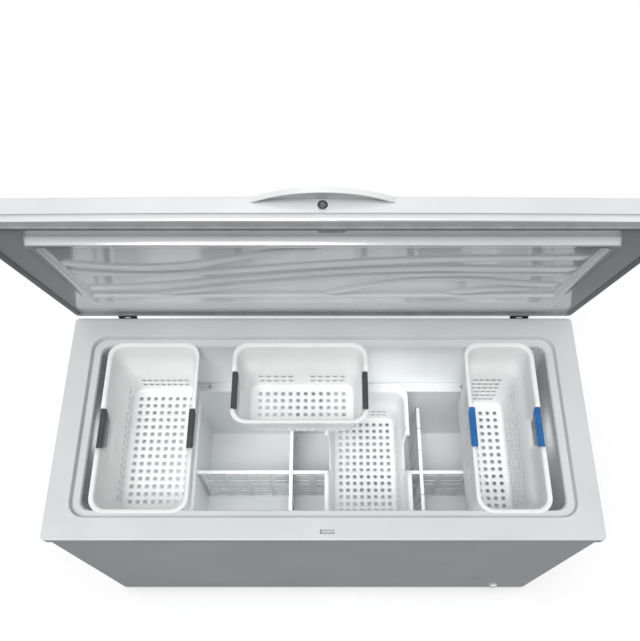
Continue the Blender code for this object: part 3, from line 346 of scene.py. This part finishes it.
# %% One basket
def basket(name, flange, draft, notch, ledge, holes, pitch, slots, split=1):
    """Rings down the inner face, then the floor: inset = flange + lean * drop / wall height."""
    low, high = corners(name)
    x, y, top, depth = (low[0], high[0]), (low[1], high[1]), high[2], high[2] - low[2]
    cells = (holes[0], holes[1] * split, 5)
    count = 2 * (cells[0] + cells[1]) + 4 * cells[2]
    wall_height = depth - WALL - FILLET
    middle, reach = FRONT + notch[0], notch[1]
    ends = middle + np.array([-1, 1]) * HALF_NOTCH
    sides = np.linspace(y[0] + 0.04, y[1] - 0.04, cells[1] + 1)
    first, last = (int(np.abs(sides - end).argmin()) for end in ends)

    def level(drop, inset, radius, lean=0.0):
        ix, iy = inset[0] + draft[0] * lean, inset[1] + draft[1] * lean
        ys = np.linspace(y[0] + iy + radius, y[1] - iy - radius, cells[1] + 1)
        slope = 0.45 * min(drop, reach)
        known = [ys[0], ends[0] + slope, ends[1] - slope, ys[-1]]
        bent = np.interp(np.arange(cells[1] + 1), [0, first, last, cells[1]], known)
        weight = np.clip(1 - (drop - reach) / 0.05, 0, 1)
        return ring((x[0] + ix, x[1] - ix), (y[0] + iy, y[1] - iy), radius, top - drop, cells,
                    side_y=ys + (bent - ys) * weight)

    bands = depth - 0.013 - SLOT_ROW * np.arange(max(slots.values()), -1, -1)
    drops = np.concatenate([[reach * 0.5, reach, ledge - 0.002, ledge + 0.0015], bands])
    step = np.where(drops > ledge, LEDGE_STEP, -0.0010)
    rim = np.array(flange)
    rows = [level(0.0026, (0, 0), 0.045), level(0.0009, (0, 0), 0.045), level(0, (0.0009, 0.0009), 0.044),
            level(0, rim - 0.007, 0.041), level(0.0010, rim - 0.0035, 0.0385),
            level(0.0035, rim - 0.0010, 0.0365), level(0.0070, rim, 0.036)]
    top_rows = len(rows)
    rows += [level(drop, rim + inwards, 0.036 - 0.008 * drop / wall_height, drop / wall_height)
             for drop, inwards in zip(drops, step)]
    for bend in np.radians([0, 30, 60, 90]):
        turned = FILLET * (1 - np.cos(bend)) + LEDGE_STEP
        rows.append(level(wall_height + FILLET * np.sin(bend), rim + turned, 0.028 - turned, 1.0))
    centre = np.array([sum(x), sum(y)]) / 2
    gx, gy = grid_points(*(centre[k] + pitch[k] * (np.arange(holes[k] + 1) - holes[k] / 2) for k in (0, 1)))
    grid = np.column_stack([gx, gy, np.full(len(gx), top - depth + WALL)])
    points = np.concatenate(rows + [grid])

    walls = wall_faces(len(rows), count)
    floor, strip, tips = floor_faces(cells, split, (len(rows) - 1) * count, len(rows) * count)
    keep = np.ones(walls.shape[:2], bool)
    right, left = cells[0] + cells[2], 2 * cells[0] + cells[1] + 3 * cells[2]
    notch_rows = top_rows + 1
    keep[:notch_rows, right + first:right + last] = False
    keep[:notch_rows, left + cells[1] - last:left + cells[1] - first] = False
    runs = {"front": [(0, cells[0])], "sides": [(right, cells[1]), (left, cells[1])],
            "back": [(right + cells[1] + cells[2], cells[0])]}
    first_band = top_rows + 4
    faces, cut = [strip, tips], []
    for side, number in slots.items():
        for start, length in runs[side]:
            for k in range(number):
                row = first_band + max(slots.values()) - number + k
                columns = np.arange(start, start + length)
                if name == "basket_centre" and side == "back":
                    columns = columns[~np.isin(columns - start, BLANK_COLUMNS)]
                long = side == "sides"
                size = SHORT_SLOT if split == 2 and long else SLOT
                shift = (0.12 if k % 2 else -0.12) if (long or number > 2) else 0.0
                cut.append((walls[row, columns], size, shift, 0.7))
                keep[row, columns] = False
    cut.append((floor.reshape(-1, 4), (HOLE, HOLE), 0.0, 1.0))
    for quads, size, shift, square in cut:
        points, cell_sides, cell_tips = pierce(points, quads, size, shift, square)
        faces += [cell_sides, cell_tips]
    faces.append(walls[keep])
    make_piece(name + "_moulding", points, faces, basket_pp, name, [name], wall=WALL)


for basket_name, sizes in BASKETS.items():
    basket(basket_name, **sizes)

# %% [markdown]
# ## Dividers
#
# The floor dividers are moulded frames: a square top bar, a thin web pierced by long slots, and
# upright ribs that stiffen it. Bars are plain boxes with softened edges, and the web reuses the
# pierced cell, so a slot is the same idea as a basket's hole, only longer.

# %% Bars and webs
BAR, RIB, WEB, FOOT = 0.009, 0.005, 0.0025, 0.006
LAP = 0.0066            # half the width of a half-lap joint
NICK = 0.0018           # half the width of a nick in a top bar
WEB_SLOT = (0.019, 0.0052)      # half a slot, along and up
HALF_ROW = 0.009        # half the height of a cell that holds a slot


def bars(low, high):
    """Boxes between paired corners: eight points each, low or high along x, y and z by bit."""
    low, high = np.array(low, float), np.array(high, float)
    bits = np.array([[k & 1, k >> 1 & 1, k >> 2 & 1] for k in range(8)])
    points = low[:, None] + (high - low)[:, None] * bits
    six = np.array([[0, 2, 3, 1], [4, 5, 7, 6], [0, 1, 5, 4], [2, 6, 7, 3], [0, 4, 6, 2], [1, 3, 7, 5]])
    faces = six + 8 * np.arange(len(low))[:, None, None]
    return points.reshape(-1, 3), faces.reshape(-1, 4)


def web(along, up, slot_columns, slot_rows, gap, across):
    """A flat grid with slots in chosen cells and a joint left out; `across` turns it to run along y."""
    u, v = grid_points(along, up)
    index = np.arange(u.size).reshape(len(along), len(up))
    quads = np.stack([index[:-1, :-1], index[1:, :-1], index[1:, 1:], index[:-1, 1:]], -1)
    centre_u = (along[:-1] + along[1:]) / 2
    centre_v = (up[:-1] + up[1:]) / 2
    keep = np.ones(quads.shape[:2], bool)
    for low_u, high_u, low_v, high_v in gap:
        keep &= ~(((centre_u > low_u) & (centre_u < high_u))[:, None]
                  & ((centre_v > low_v) & (centre_v < high_v))[None])
    slotted = np.zeros(quads.shape[:2], bool)
    slotted[np.ix_(slot_columns, slot_rows)] = True
    slotted &= keep
    flat = np.stack([u, np.zeros(u.size), v], 1)
    flat, cell_sides, cell_tips = pierce(flat, quads[slotted], WEB_SLOT, 0.0, 0.45)
    if across:
        flat = flat[:, [1, 0, 2]]
    flat[:, 0 if across else 1] += WEB / 2 * (1 if across else -1)
    return flat, [quads[keep & ~slotted], cell_sides, cell_tips]


# %% Lay out and make the three dividers
ROW_HEIGHTS = (-0.487, -0.549, -0.585, -0.647, -0.672, -0.705)   # slot centres below the top frame


def divider(name, body, along_x, rib_at, joints, joint_up, nicks):
    """Top bar, foot bar, ribs and web; `joints` are the half-laps, open above or below the middle."""
    low, high = corners(name)
    axis = 0 if along_x else 1
    start, end = low[axis], high[axis]
    bottom, top = low[2], high[2]
    middle = (bottom + top) / 2
    side = 1 - axis
    centre = (low[side] + high[side]) / 2
    half = (high[side] - low[side]) / 2
    cuts_top = sorted([(j - LAP, j + LAP) for j in joints if joint_up]
                      + [(n - NICK, n + NICK) for n in nicks])
    cuts_foot = sorted((j - LAP, j + LAP) for j in joints if not joint_up)
    low_list, high_list = [], []

    def block(u, wide, z):
        one = np.zeros((2, 3))
        one[:, axis], one[:, side], one[:, 2] = u, (centre - wide, centre + wide), z
        low_list.append(one[0])
        high_list.append(one[1])

    for cuts, z, wide in ((cuts_top, (top - BAR, top), half),
                          (cuts_foot, (bottom, bottom + FOOT), half * 0.7)):
        edges = [start] + [value for cut in cuts for value in cut] + [end]
        for u0, u1 in zip(edges[::2], edges[1::2]):
            block((u0, u1), wide, z)
    for u in rib_at:
        block((u - RIB / 2, u + RIB / 2), half * 0.8, (bottom, top - 0.004))
    for j in joints:
        for edge in (-1, 1):
            u = sorted((j + edge * LAP, j + edge * (LAP + 0.003)))
            block(u, half * 0.8, (middle, top - 0.002) if joint_up else (bottom, middle))
    bar_points, bar_faces = bars(low_list, high_list)
    ribs = np.array(rib_at)
    lines = np.unique(np.round(np.concatenate([[start, end], ribs, (ribs[:-1] + ribs[1:]) / 2,
                                               [j + e * LAP for j in joints for e in (-1, 1)]]), 5))
    heights = np.array(ROW_HEIGHTS) + DECK_TOP
    up = np.unique(np.concatenate([[bottom + 0.003, top - 0.004, middle],
                                   heights - HALF_ROW, heights + HALF_ROW]))
    slot_rows = [k for k in range(len(up) - 1)
                 if np.abs((up[k] + up[k + 1]) / 2 - heights).min() < 0.001 and up[k + 1] - up[k] < 0.019]
    slot_columns = np.flatnonzero(np.diff(lines) > 0.034)
    gaps = [(j - LAP, j + LAP, middle if joint_up else 0, 9 if joint_up else middle) for j in joints]
    flat, faces = web(lines, up, slot_columns, slot_rows, gaps, not along_x)
    flat[:, side] += centre
    make_piece(name + "_web", flat, faces, divider_pp, body, wall=WEB)
    frame_bars = make_piece(name + "_bars", bar_points, [bar_faces], divider_pp, body,
                            [name])
    soft = frame_bars.modifiers.new("soft_edges", "BEVEL")
    soft.width, soft.segments = 0.0009, 2


CROSS = [float(sum(corner[0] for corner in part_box(f"divider_{side}")) / 2) for side in ("left", "right")]
LONG_Y = float(sum(corner[1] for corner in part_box("divider_long")) / 2)
long_ribs = [-0.425, -0.347, -0.270, -0.194, -0.034, 0.044, 0.122, 0.200, 0.270, 0.418, 0.496, 0.574, 0.650]
divider("divider_long", "cabinet", True, long_ribs, CROSS, True, [])
cross_ribs = [FRONT + v for v in (0.110, 0.187, 0.264, 0.424, 0.501, 0.575)]
cross_nicks = [FRONT + v for v in (0.262, 0.426, 0.508)]
for name in ("divider_left", "divider_right"):
    divider(name, name, False, cross_ribs, [LONG_Y], False, cross_nicks)

# %% [markdown]
# ## The lid's lining and gasket
#
# The lining is one vacuum-formed sheet: a strip that shows under the painted skin, a flange, a raised
# plug that fills the opening, and a shallow pan with long waves pressed into it for stiffness. It is
# modelled closed, facing down, and then turned about the hinge line to stand with the open lid. Each
# wave is a curve across the lid: a ridge with a flat top, whose flanks fall away smoothly.

# %% Sizes of the lid, closed
PIVOT = np.array([FRONT + 0.6935, DECK_TOP + 0.003])
OPEN_BY = np.radians(73.8)
LID_X = HALF_WIDTH
LID_Y = (FRONT - 0.004, FRONT + 0.692)
SEAT = DECK_TOP + 0.010
PLUG_X, PLUG_Y = 0.655, (FRONT + 0.072, FRONT + 0.589)
PAN_X, PAN_Y = 0.630, (FRONT + 0.092, FRONT + 0.454)
CREST, PAN_FLOOR = SEAT - 0.019, SEAT - 0.009
LID_CELLS = (240, 150, 5)
LID_BOW = 0.010                 # how far the front edge bulges at mid width


def opened(points):
    """Turn about the hinge line: dy, dz go to cos * dy + sin * dz and cos * dz - sin * dy."""
    dy, dz = points[:, 1] - PIVOT[0], points[:, 2] - PIVOT[1]
    turned = points.copy()
    turned[:, 1] = PIVOT[0] + np.cos(OPEN_BY) * dy + np.sin(OPEN_BY) * dz
    turned[:, 2] = PIVOT[1] + np.cos(OPEN_BY) * dz - np.sin(OPEN_BY) * dy
    return turned


def lid_ring(inset, z, radius, cells=LID_CELLS, bow=LID_BOW):
    return ring((-LID_X + inset, LID_X - inset), (LID_Y[0] + inset, LID_Y[1] - inset), radius, z, cells, bow)


# %% The waves
WAVE_HEIGHT, WAVE_HALF_WIDTH = 0.0086, 0.0090
WAVES = [   # x across the lid, and distance from the hinge side
    [(-.633, .487), (-.434, .449), (-.281, .480), (-.155, .535), (-.006, .580)],
    [(-.634, .430), (-.396, .404), (-.190, .430), (-.007, .473), (.231, .502), (.615, .518)],
    [(-.631, .293), (-.417, .318), (-.197, .375), (-.008, .422), (.239, .444), (.620, .440)],
    [(-.557, .221), (-.316, .284), (-.008, .367), (.245, .404), (.619, .404)],
    [(-.053, .214), (-.009, .227), (.124, .326), (.251, .359), (.406, .359), (.618, .318)],
    [(.281, .221), (.425, .275), (.529, .294), (.624, .301)],
]


def wave_height(x, y):
    """Flat-topped ridges: height * exp(-(distance / half width) to the 4th), for the highest curve."""
    total = np.zeros_like(x)
    for wave in WAVES:
        px, ps = np.array(wave).T
        fit = np.polyfit(px, LID_Y[1] - ps, min(len(px) - 1, 4))
        slope = np.polyval(np.polyder(fit), x)
        away = (y - np.polyval(fit, x)) / np.sqrt(1 + slope ** 2)
        ends = np.clip((x - px[0] + 0.01) / 0.03, 0, 1) * np.clip((px[-1] - x + 0.01) / 0.03, 0, 1)
        total = np.maximum(total, ends * np.exp(-(away / WAVE_HALF_WIDTH) ** 4))
    edge = np.minimum(np.minimum(x + PAN_X, PAN_X - x), np.minimum(y - PAN_Y[0], PAN_Y[1] - y))
    return WAVE_HEIGHT * total * np.clip((edge - 0.007) / 0.012, 0, 1)


# %% The lining
CAM_WAY_X = (-0.011, 0.053)     # the slot that the lock's cam turns through, between the last two seat rings
CAM_WAY_ROW = 5


def lid_lining():
    """Rings from the trim strip in to the pan, then the pan's floor, which carries the waves."""
    def plug(inset, z, radius):
        return ring((-PLUG_X + inset, PLUG_X - inset), (PLUG_Y[0] + inset, PLUG_Y[1] - inset), radius, z,
                    LID_CELLS)

    def pan(inset, z, radius):
        return ring((-PAN_X + inset, PAN_X - inset), (PAN_Y[0] + inset, PAN_Y[1] - inset), radius, z,
                    LID_CELLS)

    rows = [lid_ring(0.0008, SEAT + 0.0159, 0.013), lid_ring(0.0008, SEAT + 0.003, 0.013),
            lid_ring(0.0014, SEAT + 0.0008, 0.0126), lid_ring(0.0035, SEAT, 0.012),
            lid_ring(0.022, SEAT, 0.012), lid_ring(0.0315, SEAT, 0.012), lid_ring(0.0425, SEAT, 0.012),
            plug(-0.002, SEAT, 0.020), plug(-0.0003, SEAT - 0.0015, 0.0185),
            plug(0.0025, CREST + 0.003, 0.016), plug(0.0034, CREST + 0.0008, 0.015),
            plug(0.0055, CREST, 0.014), pan(-0.0015, CREST, 0.0115),
            pan(0.0002, CREST + 0.0008, 0.010), pan(0.0012, CREST + 0.0025, 0.009),
            pan(0.0052, PAN_FLOOR - 0.001, 0.007), pan(0.0075, PAN_FLOOR, 0.005)]
    count = len(rows[0])
    fx, fy = grid_points(np.linspace(-PAN_X + 0.0090, PAN_X - 0.0090, LID_CELLS[0] + 1),
                         np.linspace(PAN_Y[0] + 0.0090, PAN_Y[1] - 0.0090, LID_CELLS[1] + 1))
    floor_points = np.column_stack([fx, fy, PAN_FLOOR - wave_height(fx, fy)])
    floor, strip, tips = floor_faces(LID_CELLS, 1, (len(rows) - 1) * count, len(rows) * count)
    points = opened(np.concatenate(rows + [floor_points]))
    walls = wall_faces(len(rows), count)
    middle = np.concatenate(rows)[walls[CAM_WAY_ROW]].mean(1)
    keep = np.ones(walls.shape[:2], bool)
    keep[CAM_WAY_ROW] = (middle[:, 0] < CAM_WAY_X[0]) | (middle[:, 0] > CAM_WAY_X[1]) | (middle[:, 1] > 0)
    faces = [group[:, ::-1] for group in (walls[keep], floor.reshape(-1, 4), strip, tips)]
    make_piece("lid_lining", points, faces, lining_hips, "lid", ["lid_panel"], wall=0.0007)


lid_lining()

# %% The gasket
# A bellows profile, carried round the lid: a magnet pocket below, a fold, and the foot in its groove.
GASKET_PROFILE = [(0.0085, 0.0097), (0.0085, 0.0074), (0.0104, 0.0062), (0.0085, 0.0050), (0.0080, 0.0018),
                  (0.0092, 0.0003), (0.0185, 0.0003), (0.0200, 0.0018), (0.0195, 0.0050), (0.0176, 0.0062),
                  (0.0195, 0.0074), (0.0195, 0.0097)]


def gasket():
    """One ring for each point of the profile, the last joined to the first."""
    rows = [lid_ring(inset, DECK_TOP + z, max(0.006, 0.020 - inset), (40, 20, 5), bow=0.0)
            for inset, z in GASKET_PROFILE]
    rows.append(rows[0])
    count = len(rows[0])
    faces = wall_faces(len(rows), count)
    faces[-1] %= (len(rows) - 1) * count
    points = opened(np.concatenate(rows[:-1]))
    make_piece("lid_gasket_profile", points, [faces.reshape(-1, 4)[:, ::-1]], gasket_pvc, "lid",
               ["lid_gasket"], smooth_below=60)


gasket()

# %% [markdown]
# ## Small fittings
#
# The strike slot in the top frame opens into a moulded pocket, so no foam shows through it. The ledge
# rail at the back, the compressor cover and the hinges are held by screws, whose heads are low domes
# with a crossed recess. A dome is a profile turned about its own axis, worked out for all its points
# at once, and so is the black ring in the lock, which is painted shade for the lock's recess.

# %% Strike pocket
def strike_pocket():
    """Five sides of a box below the slot: rings go down the inside and the floor closes them."""
    x, y = (-0.012, 0.034), (FRONT + 0.0145, FRONT + 0.0315)
    cells = (4, 2, 3)
    depths = (0.0028, 0.0100, 0.0180, 0.0190)
    insets = (0.0, 0.0003, 0.0010, 0.0022)
    rows = [ring((x[0] + i, x[1] - i), (y[0] + i, y[1] - i), 0.002, DECK_TOP - d, cells)
            for d, i in zip(depths, insets)]
    fx, fy = grid_points(np.linspace(x[0] + 0.004, x[1] - 0.004, 5),
                         np.linspace(y[0] + 0.004, y[1] - 0.004, 3))
    grid = np.column_stack([fx, fy, np.full(len(fx), DECK_TOP - depths[-1])])
    count = len(rows[0])
    floor, strip, tips = floor_faces(cells, 1, (len(rows) - 1) * count, len(rows) * count)
    make_piece("strike_pocket", np.concatenate(rows + [grid]),
               [wall_faces(len(rows), count).reshape(-1, 4), floor.reshape(-1, 4), strip, tips], frame_abs,
               "cabinet", wall=0.0010)


strike_pocket()


# %% Screw heads
def screw_heads(name, centres, axis, radius, height):
    """Domes: radius * t out, and up by a profile in shares of the height, sunk in the cross recess.

    `axis` is the way the heads face: z, y or -x.
    """
    t = np.array([0.0, 0.35, 0.7, 0.92, 1.0, 1.0])
    up = height * np.array([1, 0.95, 0.75, 0.42, 0.15, -0.3])
    turn = np.radians(np.arange(0, 360, 18))
    out, lift = radius * t[1:, None], np.repeat(up[1:, None], len(turn), 1)
    recess = (np.abs(np.sin(2 * turn)) < 0.35)[None] & (t[1:, None] < 0.5)
    lift = lift - recess * height * 0.5
    disc = np.stack([out * np.cos(turn), out * np.sin(turn), lift], -1).reshape(-1, 3)
    dome = np.concatenate([[[0, 0, up[0] - height * 0.5]], disc])
    order, signs = {"z": ([0, 1, 2], (1, 1, 1)), "y": ([0, 2, 1], (1, 1, 1)),
                    "-x": ([2, 0, 1], (-1, 1, 1))}[axis]
    dome = dome[:, order] * signs
    k = np.arange(len(turn))
    after = (k + 1) % len(turn)
    cap = np.stack([np.zeros_like(k), 1 + k, 1 + after], 1)
    walls = wall_faces(5, len(turn)).reshape(-1, 4)[:, [1, 0, 3, 2]] + 1
    if axis != "z":
        cap, walls = cap[:, ::-1], walls[:, ::-1]
    points = (np.array(centres)[:, None] + dome[None]).reshape(-1, 3)
    step = len(dome) * np.arange(len(centres))[:, None, None]
    make_piece(name, points, [(cap[None] + step).reshape(-1, 3), (walls[None] + step).reshape(-1, 4)],
               zinc, "cabinet")


rail_low, rail_high = corners("basket_rail_back")
screw_heads("rail_screws", [(x, (rail_low[1] + rail_high[1]) / 2, rail_high[2] + 0.0003)
                            for x in (-0.383, 0.04, 0.463)], "z", 0.0055, 0.0018)
cover_low, cover_high = corners("compressor_cover")
screw_heads("cover_screws", [(cover_low[0] - 0.0001, y, z)
                             for y in (cover_low[1] + 0.012, cover_high[1] - 0.012)
                             for z in (cover_low[2] + 0.012, cover_high[2] - 0.012)], "-x", 0.0038, 0.0009)
screw_heads("hinge_screws", [(sign * 0.600 + dx, FRONT + 0.6912, DECK_TOP + dz) for sign in (-1, 1)
                             for dx in (-0.020, 0.020) for dz in (-0.036, -0.100)], "y", 0.0042, 0.0014)


# %% Lock ring
def lock_ring():
    """A black ring round the turning plug, painted shade for the lock's recess: a square profile turned
    about the lock's axis.
    """
    face, height, radius = LID_Y[0] - LID_BOW - 0.0047, SEAT + 0.0320, 0.011
    profile = np.array([(0.56, 0.0006), (0.56, 0.0), (0.80, 0.0), (0.80, 0.0006)]) * (radius, 1)
    turn = np.linspace(0, 2 * np.pi, 37)[:-1]
    points = np.concatenate([np.column_stack([out * np.cos(turn), np.full(len(turn), face + back),
                                              height + out * np.sin(turn)]) for out, back in profile])
    faces = wall_faces(5, len(turn)).reshape(-1, 4) % len(points)
    # The black ring is painted shade: it darkens the recess between the chrome collar and the plug.
    make_piece("lock_painted_shade_ring", opened(points), [faces], black_nylon, "lock")


lock_ring()

# %% [markdown]
# ## Floor and light
#
# White things need a pale surround and broad, soft light, or they turn grey. The floor is part of the
# stage. Two broad suns light the object, one nearly overhead and a stronger one from the front, which
# reaches under the lid. A sky that pales upwards fills the rest, and a card fills the tub.

# %% Floor
floor_mesh = bpy.data.meshes.new("stage_floor")
floor_mesh.from_pydata([(-14, -14, 0), (14, -14, 0), (14, 14, 0), (-14, 14, 0)], [], [(0, 1, 2, 3)])
stage_floor = bpy.data.objects.new("stage_floor", floor_mesh)
bpy.context.scene.collection.objects.link(stage_floor)
stage_paint = finish("matt_studio_floor", "#F6F6F6", "#F9F9F9", 0.9, 900, 4.0, 0.02)
floor_mesh.materials.append(stage_paint)
# Black flags in a real studio keep a white floor from lighting the front; here the floor is left out
# of the light that surfaces and reflections gather.
stage_floor.visible_diffuse = stage_floor.visible_glossy = False

# %% Light
world = bpy.data.worlds.new("studio")
bpy.context.scene.world = world
world.use_nodes = True
sky = world.node_tree
up = add_node(sky, "ShaderNodeSeparateXYZ", Vector=add_node(sky, "ShaderNodeTexCoord").outputs["Generated"])
ramp = add_node(sky, "ShaderNodeMapRange", {"From Min": -0.15, "From Max": 0.45, "To Min": 0.05,
                                            "To Max": 0.42}, Value=up.outputs["Z"])
sky.links.new(ramp.outputs["Result"], sky.nodes["Background"].inputs["Strength"])
sky.nodes["Background"].inputs["Color"].default_value = (1, 1, 1, 1)


def sun(name, leans, spread, strength):
    """A sun whose light leans by (x, y) degrees from straight down, `spread` degrees across."""
    light = bpy.data.lights.new(name, "SUN")
    light.angle = np.radians(spread)
    light.energy = strength
    lamp = bpy.data.objects.new(name, light)
    bpy.context.scene.collection.objects.link(lamp)
    lamp.location = (0, 0, 4)
    lamp.rotation_euler = np.radians([leans[1], leans[0], 0])


sun("ceiling_light", (-4, 6), 30, 0.85)
sun("front_light", (-8, 25), 22, 1.50)
bpy.context.scene.view_settings.view_transform = "Standard"


# %% Fill for the tub
# A deep white tub lit only from above goes grey. A flat fill at the opening, which only the tub and
# what stands on its floor receive, stands for the card a studio would hold over it.
tub_fill = bpy.data.lights.new("tub_fill", "AREA")
tub_fill.shape = "RECTANGLE"
tub_fill.size, tub_fill.size_y, tub_fill.energy = 1.25, 0.24, 5.0
tub_lamp = bpy.data.objects.new("tub_fill", tub_fill)
bpy.context.scene.collection.objects.link(tub_lamp)
tub_lamp.location = (0, -0.11, DECK_TOP - 0.020)
tub_lamp.visible_camera = tub_lamp.visible_glossy = False
in_tub = bpy.data.collections.new("in_tub")
lit = ["liner", "basket_rail_back", "basket_rail_front", "rail_screws"]
lit += [f"divider_{which}_{part}" for which in ("long", "left", "right") for part in ("web", "bars")]
for name in lit:
    in_tub.objects.link(bpy.data.objects[name])
tub_lamp.light_linking.receiver_collection = in_tub
